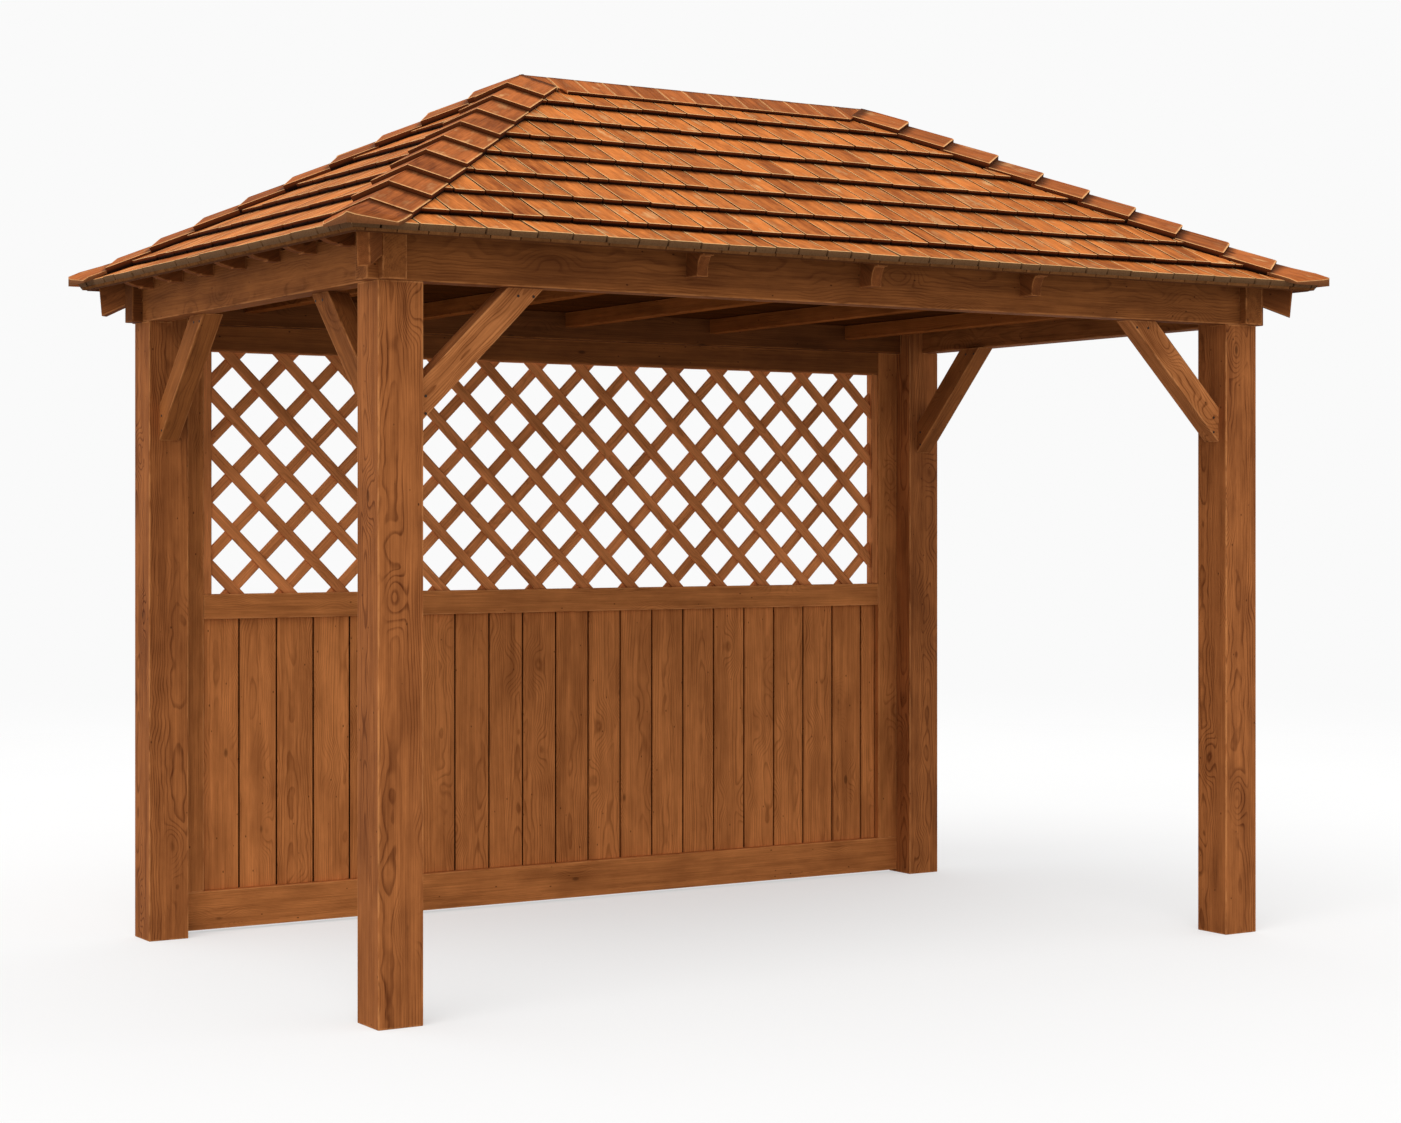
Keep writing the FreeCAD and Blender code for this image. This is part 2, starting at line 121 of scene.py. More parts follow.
# Fields, node trees and finishes
def maths(operation, turned=False):
    """A method of a field that adds one Math node, with its two sides turned round if asked."""
    def method(field, other=0.0):
        first, second = (other, field) if turned else (field, other)
        return field.tree.field("ShaderNodeMath", "Value", {"operation": operation}, {0: first, 1: second})

    return method


class Field:
    """A number that varies from place to place. Sums and products of it add Math nodes to its tree."""

    def __init__(self, tree, socket):
        self.tree = tree
        self.socket = socket

    __add__ = maths("ADD")
    __radd__ = maths("ADD", turned=True)
    __sub__ = maths("SUBTRACT")
    __rsub__ = maths("SUBTRACT", turned=True)
    __mul__ = maths("MULTIPLY")
    __rmul__ = maths("MULTIPLY", turned=True)
    __truediv__ = maths("DIVIDE")
    __pow__ = maths("POWER")
    fraction = maths("FRACT")
    whole = maths("FLOOR")
    at_most = maths("MINIMUM")
    more_than = maths("GREATER_THAN")


class Tree:
    """A node tree, filled one node at a time: settings first, then the values or links of its sockets."""

    def __init__(self, tree):
        self.tree = tree

    def node(self, kind, settings=None, sockets=None):
        made = self.tree.nodes.new(kind)
        for name, setting in (settings or {}).items():
            setattr(made, name, setting)
        for key, given in (sockets or {}).items():
            self.plug(made.inputs[key], given)
        return made

    def plug(self, socket, given):
        if isinstance(given, Field):
            given = given.socket
        if isinstance(given, bpy.types.NodeSocket):
            self.tree.links.new(given, socket)
        else:
            socket.default_value = given

    def field(self, kind, output, settings=None, sockets=None):
        return Field(self, self.node(kind, settings, sockets).outputs[output])

    def smooth(self, value, low, high, start=0.0, end=1.0):
        """A soft step from start to end as value goes from low to high."""
        sockets = {"Value": value, "From Min": low, "From Max": high, "To Min": start, "To Max": end}
        return self.field("ShaderNodeMapRange", "Result", {"interpolation_type": "SMOOTHSTEP"}, sockets)

    def spread(self, value, low, high):
        """A straight run from 0 to 1 as value goes from low to high, held at both."""
        sockets = {"Value": value, "From Min": low, "From Max": high}
        return self.field("ShaderNodeMapRange", "Result", None, sockets)

    def combine(self, x, y, z):
        return self.node("ShaderNodeCombineXYZ", None, {"X": x, "Y": y, "Z": z}).outputs["Vector"]

    def seen_directly(self):
        """1 for what the camera sees, also through glass or mirrored, and 0 for light on its way."""
        path = self.node("ShaderNodeLightPath").outputs
        seen = Field(self, path["Is Camera Ray"]) + Field(self, path["Is Glossy Ray"])
        return (seen + Field(self, path["Is Transmission Ray"])).at_most(1.0)


class Finish(Tree):
    """One material with a Principled shader, filled in by the functions that name the finishes."""

    def __init__(self, name):
        self.material = bpy.data.materials.new(name)
        self.material.use_nodes = True
        super().__init__(self.material.node_tree)
        self.tree.nodes.clear()
        self.shader = self.node("ShaderNodeBsdfPrincipled")
        self.node("ShaderNodeOutputMaterial", None, {"Surface": self.shader.outputs["BSDF"]})

    def own_place(self):
        """Where each spot lies on its object."""
        return self.node("ShaderNodeTexCoord").outputs["Object"]

    def mark(self, name, output="Fac"):
        """What the mesh carries under this name."""
        return self.field("ShaderNodeAttribute", output, {"attribute_name": name})

    def read_fibre(self, place):
        """Keep how far along, across and deep in the log each spot lies."""
        parts = self.node("ShaderNodeSeparateXYZ", None, {"Vector": place}).outputs
        self.along, self.across, self.deep = [Field(self, parts[axis]) for axis in ("X", "Y", "Z")]

    def stretched(self, long, fine, shift=None):
        """The place in the log, with one scale along the fibre and another across it."""
        run = self.along * long
        if shift is not None:
            run = run + shift
        return self.combine(run, self.across * fine, self.deep * fine)

    def noise(self, vector, scale, detail=2.0, roughness=0.5):
        sockets = {"Vector": vector, "Scale": scale, "Detail": detail, "Roughness": roughness}
        return self.field("ShaderNodeTexNoise", "Fac", None, sockets)

    def fibre_noise(self, long, fine, detail=2.0, roughness=0.5, shift=None):
        """Noise drawn out along the fibre."""
        return self.noise(self.stretched(long, fine, shift), 1.0, detail, roughness)

    def spots(self, long, fine):
        """The distance to the nearest of some scattered spots."""
        sockets = {"Vector": self.stretched(long, fine), "Scale": 1.0}
        return self.field("ShaderNodeTexVoronoi", "Distance", None, sockets)

    def blend(self, factor, under, over):
        """One colour laid over another by a factor."""
        return self.node("ShaderNodeMix", {"data_type": "RGBA"}, {0: factor, 6: under, 7: over}).outputs[2]

    def bump(self, height, distance):
        sockets = {"Height": height, "Distance": distance, "Strength": 0.5}
        self.plug(self.shader.inputs["Normal"], self.node("ShaderNodeBump", None, sockets).outputs["Normal"])

    def finish(self, colour, roughness, sheen):
        """Plug in the colour and the roughness, set the constant sheen and give back the material."""
        self.plug(self.shader.inputs["Base Color"], colour)
        self.plug(self.shader.inputs["Roughness"], roughness)
        self.shader.inputs["Specular IOR Level"].default_value = sheen
        return self.material


def paint(red, green, blue):
    """A colour as it is read off a picture, 0 to 255, turned into the shader's own numbers."""
    linear = []
    for part in (red, green, blue):
        level = part / 255
        linear.append(level / 12.92 if level <= 0.04045 else ((level + 0.055) / 1.055) ** 2.4)
    return (*linear, 1.0)


def shaded(colour, share):
    """A colour with only this share of its light."""
    return (*(part * share for part in colour[:3]), 1.0)


# Cedar
def cedar(name, light, dark, edge, ring=0.0045, contrast=0.3, knots=1.0, edge_share=0.45, sheen=0.08,
          on_object=False):
    """Sawn and oiled cedar: fine growth rings cut along the fibre, streaks, knots, stains, and an edge colour
    on the edges that is wear where it is light and painted shade where it is dark.
    """
    wood = Finish(name)
    light, dark, edge = [paint(*colour) for colour in (light, dark, edge)]
    black = shaded(dark, 0.3)
    wood.read_fibre(wood.own_place() if on_object else wood.mark("grain", "Vector"))
    tone = wood.mark("tone")
    wear_and_edge_shading = wood.mark("wear_and_edge_shading")

    # Growth rings round a pith that sways, drawn round the knots
    knot = wood.spots(3.4, 7.5)
    around_knot = wood.smooth(knot, 0.44, 0.04) * knots
    in_knot = wood.smooth(knot, 0.080, 0.04) * knots
    curl = (wood.fibre_noise(5.5, 9.0, shift=3.7) - 0.5) * 0.022
    y = wood.across + (wood.fibre_noise(1.3, 5.0) - 0.5) * 0.045 + curl
    z = wood.deep + (wood.fibre_noise(1.1, 4.0, shift=7.3) - 0.5) * 0.045 + curl
    from_pith = (y * y + z * z) ** 0.5
    in_ring = (from_pith / ring + around_knot * 5.5 + wood.along * 0.5).fraction()
    late = wood.smooth(in_ring, 0.5, 0.86) * wood.smooth(in_ring, 1.0, 0.88)
    rings = late * wood.smooth(wood.fibre_noise(1.7, 12.0), 0.30, 0.56)

    # Streaks, bands, stains, knots, and edges: wear where the edge colour is light, painted shade where it is
    # dark
    streak = wood.fibre_noise(5.0, 300.0, 3.0, 0.6)
    band = wood.fibre_noise(1.6, 46.0, 3.0, 0.6)
    fine = wood.fibre_noise(30.0, 900.0, 2.0, 0.6)
    mottle = wood.fibre_noise(7.0, 15.0, 4.0, 0.6)
    stain = wood.fibre_noise(2.2, 9.0, 3.0, 0.6, shift=tone * 9.0)
    broken = wood.fibre_noise(9.0, 40.0, 3.0, 0.65)
    pin_knot = wood.smooth(wood.spots(15.0, 25.0), 0.075, 0.045) * knots
    depth = rings * contrast + (streak - 0.5) + (band - 0.5) * 1.1 + (fine - 0.5) * 0.3
    depth = depth + around_knot * 0.16 + (tone - 0.5) * 0.22 + (mottle - 0.5) * 0.8
    colour = wood.blend(wood.spread(depth, -0.40, 0.80), light, dark)
    colour = wood.blend(wood.smooth(stain, 0.45, 0.75, 0.0, 0.45), colour, dark)
    colour = wood.blend(pin_knot * 0.75, colour, black)
    colour = wood.blend(in_knot * 0.6, colour, black)
    # The edge colour on the marked edges: wear on the timbers, painted shade on the lattice, whose edge colour
    # is dark.
    edge_wear_and_shade = wear_and_edge_shading * wood.smooth(broken + wear_and_edge_shading * 0.12, 0.46, 0.7) * edge_share
    colour = wood.blend(edge_wear_and_shade, colour, edge)
    wood.bump(rings * 0.3 + streak * 0.7 + fine * 0.4 - in_knot * 0.6, 0.0010)
    return wood.finish(colour, 0.72 + streak * 0.2, sheen)


def shingle_cedar(name, *colours):
    """Split cedar shingle: streaky orange face with painted gleams and a painted shadow under the course above,
    dark sawn butt with painted shadow at its foot, greyer at the eave, and a bright rim that is worn and a
    painted highlight.

    The colours are the light and the dark of the face, the rim and the painted gleams, the butt and the butt at
    the eave.
    """
    wood = Finish(name)
    light, dark, edge, butt_colour, eave_colour = [paint(*colour) for colour in colours]
    shadow = shaded(butt_colour, 0.06)
    fibre = wood.mark("grain", "Vector")
    wood.read_fibre(fibre)
    tone, butt, wear_and_edge_shading, eave, up = [wood.mark(title) for title in ("tone", "butt", "wear_and_edge_shading", "eave", "up")]
    streak = wood.fibre_noise(7.0, 210.0, 4.0, 0.65)
    band = wood.fibre_noise(2.4, 34.0, 3.0, 0.6)
    cloud = wood.fibre_noise(9.0, 22.0, 3.0, 0.6)
    ragged_shadow_line = wood.fibre_noise(2.0, 55.0)

    # The split face, with painted gleams and the painted shadow that the course above casts on it
    depth = (streak - 0.5) * 1.1 + (band - 0.5) * 1.2 + (tone - 0.5) * 0.42 + (cloud - 0.5) * 1.2 + 0.44
    colour = wood.blend(wood.spread(depth, 0.0, 1.0), light, dark)
    # Painted highlight: patches of the face gleam in the rim colour.
    painted_gleam = wood.smooth(cloud, 0.54, 0.72) * (1.0 - tone)
    colour = wood.blend(painted_gleam * 0.5, colour, edge)
    colour = wood.blend(wood.smooth(wood.spots(5.0, 9.0), 0.09, 0.05) * 0.7, colour, dark)
    # Painted shadow across the top of the exposed face, under the butt of the course above, with a ragged lower
    # line.
    colour = wood.blend(wood.smooth(up + (ragged_shadow_line - 0.5) * 0.16, 0.70, 0.90, 0.0, 0.85), colour, butt_colour)

    # The sawn butt, darkening to painted shadow at its foot, and the rim between the two
    sawn = wood.blend(eave, wood.blend(0.7, butt_colour, dark), eave_colour)
    sawn = wood.blend(wood.smooth(streak, 0.4, 0.75, 0.0, 0.4), sawn, butt_colour)
    # Painted shadow at the foot of each butt, weaker at the eave.
    sawn = wood.blend(wood.smooth(butt, 0.70, 0.92, 0.0, 0.95) * (1.0 - eave * 0.75), sawn, shadow)
    colour = wood.blend(wood.smooth(butt, 0.3, 0.6), colour, sawn)
    broken = wood.noise(fibre, 45.0, 2.0, 0.6)
    # Bright rim on the butt and the sides: a worn edge and a painted highlight.
    colour = wood.blend(wear_and_edge_shading * wood.smooth(broken, 0.25, 0.55, 0.5, 1.0), colour, edge)
    wood.bump(streak * 0.8 + band * 0.6, 0.0014)
    return wood.finish(colour, 0.68 + streak * 0.2, 0.05)


def screw_steel():
    """Dark brown coated steel."""
    steel = Finish("screw_steel")
    speck = steel.noise(steel.own_place(), 900.0)
    steel.shader.inputs["Metallic"].default_value = 0.7
    return steel.finish(steel.blend(speck, paint(40, 28, 22), paint(74, 56, 44)), 0.35 + speck * 0.3, 0.5)


timber_finish = cedar("frame_timber", (186, 114, 62), (92, 44, 17), (228, 154, 92), ring=0.0056, contrast=0.5)
beam_finish = cedar("beam_timber", (168, 102, 52), (90, 46, 19), (212, 140, 82), ring=0.007)
brace_finish = cedar(
    "brace_timber", (210, 134, 77), (114, 60, 26), (230, 158, 98), ring=0.006, contrast=0.45)
# Painted shade: the back beam is the beam cedar painted darker for the shade under the roof.
shaded_back_beam_finish = cedar("back_beam_timber", (120, 68, 32), (62, 31, 12), (160, 98, 50), ring=0.007)
rail_finish = cedar("panel_timber", (210, 132, 73), (118, 64, 28), (226, 154, 94))
# Painted shade: the top rail is the panel cedar painted darker for the shade under the back beam.
shaded_top_rail_finish = cedar("top_rail_timber", (146, 86, 42), (78, 40, 17), (172, 106, 58))
board_finish = cedar(
    "panel_boarding", (220, 138, 77), (130, 72, 34), (224, 140, 78), ring=0.006, contrast=0.4)
# The lattice's dark edge colour is painted shade along the edges of the bars and the border.
lattice_finish = cedar(
    "lattice_timber", (240, 152, 90), (140, 80, 40), (58, 30, 13), contrast=0.25, knots=0.4, edge_share=0.7)
# Painted shade: the ceiling boards are cedar painted dark for the shade under the roof.
shaded_ceiling_finish = cedar("ceiling_timber", (84, 44, 17), (42, 21, 7), (108, 60, 25), edge_share=0.3, sheen=0.0)
joist_finish = cedar("joist_timber", (158, 90, 43), (84, 43, 17), (180, 108, 56), edge_share=0.4, sheen=0.0)
rafter_finish = cedar("rafter_timber", (146, 84, 42), (82, 41, 16), (206, 134, 76), contrast=0.25)
hidden_finish = cedar(
    "roof_carcass", (108, 62, 30), (66, 34, 14), (130, 78, 40), contrast=0.35, knots=0.6, on_object=True)
shingle_finish = shingle_cedar(
    "shingle_cedar", (224, 132, 64), (122, 58, 22), (255, 212, 150), (66, 32, 12), (122, 88, 58))
cap_finish = shingle_cedar(
    "cap_cedar", (194, 110, 56), (106, 51, 22), (255, 196, 132), (60, 30, 12), (132, 82, 48))
starter_finish = cedar(
    "starter_shingle_cedar", (138, 90, 52), (74, 44, 22), (150, 100, 60), contrast=0.2, edge_share=0.2,
    sheen=0.0)
# Painted shade: the tongues behind the panel joints are painted near black for the shade in the gaps.
joint_shade_finish = cedar("groove_timber", (16, 7, 3), (8, 4, 2), (20, 9, 4), contrast=0.2, sheen=0.0)
screw_finish = screw_steel()


# Shapes, meshes and objects
def merged_copy(node):
    """The node's solid as clean flat faces."""
    shape = bmesh.new()
    shape.from_mesh(nodes[node].data)
    bmesh.ops.remove_doubles(shape, verts=shape.verts, dist=0.00002)
    bmesh.ops.dissolve_limit(shape, angle_limit=math.radians(1), verts=shape.verts, edges=shape.edges)
    shape.normal_update()
    return shape


def islands(shape):
    """The separate solids of a mesh, as lists of points."""
    waiting = set(shape.verts)
    found = []
    while waiting:
        group = []
        stack = [waiting.pop()]
        while stack:
            point = stack.pop()
            group.append(point)
            for edge in point.link_edges:
                other = edge.other_vert(point)
                if other in waiting:
                    waiting.remove(other)
                    stack.append(other)
        found.append(group)
    return found


def middle_of(points):
    """The middle of the box round some points."""
    low = [min(point.co[axis] for point in points) for axis in range(3)]
    high = [max(point.co[axis] for point in points) for axis in range(3)]
    return Vector([(a + b) / 2 for a, b in zip(low, high)])


def narrowest(face):
    """The least distance across a face."""
    longest = max(face.edges, key=lambda edge: edge.calc_length())
    start = longest.verts[0].co
    run = (longest.verts[1].co - start).normalized()
    aside = [(point.co - start) - run * (point.co - start).dot(run) for point in face.verts]
    return max(offset.length for offset in aside)


def from_axes(x, y, z):
    """The turn that takes X, Y and Z to these three directions."""
    return Matrix((x, y, z)).transposed().to_4x4()


def move(shape, matrix):
    bmesh.ops.transform(shape, matrix=matrix, verts=shape.verts)


def cut_away(shape, corner, outward):
    """Saw off all that lies beyond a plane, and close the cut."""
    everything = list(shape.verts) + list(shape.edges) + list(shape.faces)
    cut = bmesh.ops.bisect_plane(
        shape, geom=everything, dist=0.000001, plane_co=Vector(corner), plane_no=Vector(outward),
        clear_outer=True)
    edges = [item for item in cut["geom_cut"] if isinstance(item, bmesh.types.BMEdge)]
    open_edges = [edge for edge in edges if edge.is_valid and len(edge.link_faces) == 1]
    if open_edges:
        bmesh.ops.holes_fill(shape, edges=open_edges, sides=0)


def as_mesh(shape, name):
    """The shape as a mesh, with the shape itself freed."""
    mesh = bpy.data.meshes.new(name)
    shape.to_mesh(mesh)
    shape.free()
    return mesh


def add_to(whole, shape):
    """Join a shape to another that carries the same marks."""
    mesh = as_mesh(shape, "part")
    whole.from_mesh(mesh)
    bpy.data.meshes.remove(mesh)


def placed(name, data):
    """A new object in the scene."""
    thing = bpy.data.objects.new(name, data)
    bpy.context.scene.collection.objects.link(thing)
    return thing


def finished(shape, name, material, replaced=()):
    """Turn a shape into a piece of the gazebo that rides on its one body."""
    mesh = as_mesh(shape, name)
    mesh.materials.clear()
    mesh.materials.append(material)
    piece = placed(name, mesh)
    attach(piece, "root")
    if replaced:
        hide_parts(*replaced)


# Timbers: the CAD solids with rounded, worn edges and a fibre direction of their own
def lay_grain(shape, fibre, seed, pith=0.04):
    """Give each solid its fibre direction, a place in the log it was sawn from, and a tone."""
    grain = shape.verts.layers.float_vector.new("grain")
    tone = shape.verts.layers.float.new("tone")
    draw = random.Random(seed)
    along = Vector(fibre).normalized()
    side = along.cross(Vector((0.0, 0.0, 1.0)))
    if side.length < 0.1:
        side = Vector((1.0, 0.0, 0.0))
    side = side.normalized()
    up = along.cross(side)
    for group in sorted(islands(shape), key=lambda points: tuple(round(c, 4) for c in middle_of(points))):
        middle = middle_of(group)
        shift = Vector((
            draw.uniform(0, 40),
            draw.choice((-1, 1)) * draw.uniform(0.3, 1.0) * pith,
            draw.choice((-1, 1)) * draw.uniform(0.3, 1.0) * pith,
        ))
        shade = draw.random()
        for point in group:
            place = point.co - middle
            point[grain] = Vector((place.dot(along), place.dot(side), place.dot(up))) + shift
            point[tone] = shade


def ease_edges(shape, radius):
    """Round the sharp edges, and mark each corner's share of the edge colour (wear, and painted shade on the
    lattice border): fully on the edge, not at all a band away.
    """
    sharp = [edge for edge in shape.edges if edge.is_manifold and edge.calc_face_angle() > math.radians(28)]
    bevel = bmesh.ops.bevel(
        shape, geom=sharp, offset=radius, segments=2, profile=0.6, affect="EDGES", clamp_overlap=True)
    rounded = set(bevel["faces"])
    wide = [face for face in shape.faces if face not in rounded and narrowest(face) > 3 * worn_band]
    inset = bmesh.ops.inset_individual(shape, faces=wide, thickness=worn_band, use_even_offset=True)
    rims = set(inset["faces"])
    on_edge = {point for face in rounded for point in face.verts}
    wear_and_edge_shading = shape.loops.layers.float.new("wear_and_edge_shading")
    for face in shape.faces:
        for corner in face.loops:
            if face in rounded:
                corner[wear_and_edge_shading] = 1.0
            elif face in rims and corner.vert in on_edge:
                corner[wear_and_edge_shading] = 0.85


def timber(node, fibre, material, seed, radius=0.003, pith=0.04):
    """One CAD timber, dressed."""
    shape = merged_copy(node)
    ease_edges(shape, radius)
    lay_grain(shape, fibre, seed, pith)
    finished(shape, "timber_" + node, material, [node])


def dress_posts():
    for seed, node in enumerate(("post_front_left", "post_front_right", "post_back_left", "post_back_right")):
        timber(node, (0, 0, 1), timber_finish, 11 + seed, pith=0.045)


def dress_beams():
    timber("beam_front", (1, 0, 0), beam_finish, 21, pith=0.06)
    # The back beam takes the darker cedar, painted shade.
    timber("beam_back", (1, 0, 0), shaded_back_beam_finish, 22, pith=0.06)
    for seed, node in enumerate(("beam_left", "beam_right")):
        timber(node, (0, 1, 0), beam_finish, 31 + seed, pith=0.06)


def dress_braces():
    for seed, (node, fibre) in enumerate(brace_runs.items()):
        finish = brace_finish if node.startswith("brace_front") else beam_finish
        timber(node, fibre, finish, 41 + seed, pith=0.05)


def dress_panel_frame():
    for seed, node in enumerate(("panel_bottom_rail", "panel_middle_rail", "panel_top_rail")):
        # The top rail takes the darker cedar, painted shade.
        finish = shaded_top_rail_finish if node == "panel_top_rail" else rail_finish
        timber(node, (1, 0, 0), finish, 51 + seed, fine_edge, 0.05)
    for seed, node in enumerate(("panel_left_stile", "panel_right_stile")):
        timber(node, (0, 0, 1), rail_finish, 61 + seed, fine_edge, 0.05)


def dress_roof_frame():
    rise = math.tan(roof_pitch)
    slopes = {
        "rafters_front": (0, 1, rise), "rafters_back": (0, -1, rise),
        "rafters_left": (1, 0, rise), "rafters_right": (-1, 0, rise),
    }
    hips = {
        "hip_rafter_front_left": (1, 1, rise), "hip_rafter_front_right": (-1, 1, rise),
        "hip_rafter_back_left": (1, -1, rise), "hip_rafter_back_right": (-1, -1, rise),
    }
    timber("ceiling_joists", (0, 1, 0), joist_finish, 71, fine_edge)
    for first_seed, fibres in ((72, slopes), (81, hips)):
        for seed, (node, fibre) in enumerate(fibres.items()):
            timber(node, fibre, rafter_finish, first_seed + seed, fine_edge)


def finish_hidden_carcass():
    """The deck and the ridge board stay as the CAD has them, in plain sawn cedar."""
    for node in ("ridge_board", "roof_deck_front", "roof_deck_back", "roof_deck_left", "roof_deck_right"):
        nodes[node].data.materials.clear()
        nodes[node].data.materials.append(hidden_finish)


# Boards and shingles: one pattern piece each, laid out by Geometry Nodes
def pattern_board(name, head=1.0, soft=0.03, soft_end=0.02, droop=0.06):
    """A board one unit wide (X), long (Y) and thick (Z), with softened top edges and a butt at Y = 0.

    The head is its thickness at the far end. It carries its own place in fibre order, how far up it each
    corner lies, each corner's share of the edge colour (wear, a painted highlight on shingle rims and painted
    shade on lattice bars), and how far down a cut end, which the shingle finish turns into painted shadow at
    the foot of the butt.
    """
    shape = bmesh.new()
    local = shape.verts.layers.float_vector.new("local")
    wear_and_edge_shading = shape.loops.layers.float.new("wear_and_edge_shading")
    butt = shape.loops.layers.float.new("butt")
    up = shape.verts.layers.float.new("up")
    columns = (-0.5, -0.5 + soft, -0.17, 0.17, 0.5 - soft, 0.5)
    rows = (0.0, soft_end, 0.35, 0.7, 1.0 - soft_end, 1.0)
    last_column = len(columns) - 1
    last_row = len(rows) - 1

    def point(x, y, z):
        made = shape.verts.new((x, y, z))
        made[local] = Vector((y, x, z))
        made[up] = y
        return made

    top = []
    for j, y in enumerate(rows):
        line = []
        for i, x in enumerate(columns):
            rim = i in (0, last_column) or j in (0, last_row)
            line.append(point(x, y, 1.0 + (head - 1.0) * y - (droop if rim else 0.0)))
        top.append(line)
    border = [(0, i) for i in range(last_column)]
    border += [(j, last_column) for j in range(last_row)]
    border += [(last_row, i) for i in range(last_column, 0, -1)]
    border += [(j, 0) for j in range(last_row, 0, -1)]
    under = [point(columns[i], rows[j], 0.0) for j, i in border]
    for j in range(last_row):
        for i in range(last_column):
            face = shape.faces.new((top[j][i], top[j][i + 1], top[j + 1][i + 1], top[j + 1][i]))
            for corner in face.loops:
                place = corner.vert.co
                # Edge colour share on the top face: wear, a painted highlight along shingle butts and sides,
                # painted shade on lattice bars.
                on_side = 0.9 if abs(place.x) > 0.499 else 0.0
                near_butt = 1.0 if place.y < 0.0001 else 0.35 if place.y <= soft_end else 0.0
                corner[wear_and_edge_shading] = max(near_butt, on_side)
    for step, (j, i) in enumerate(border):
        after = (step + 1) % len(border)
        k, m = border[after]
        face = shape.faces.new((under[step], under[after], top[k][m], top[j][i]))
        for corner in face.loops:
            # Higher on the lower corners of a cut end, where the shingle finish paints the shadow under the
            # butt.
            corner[butt] = 0.65 if corner.vert.co.z > 0.01 else 1.0
    shape.faces.new(list(reversed(under)))
    bmesh.ops.recalc_face_normals(shape, faces=shape.faces)
    return bpy.data.objects.new(name, as_mesh(shape, name))


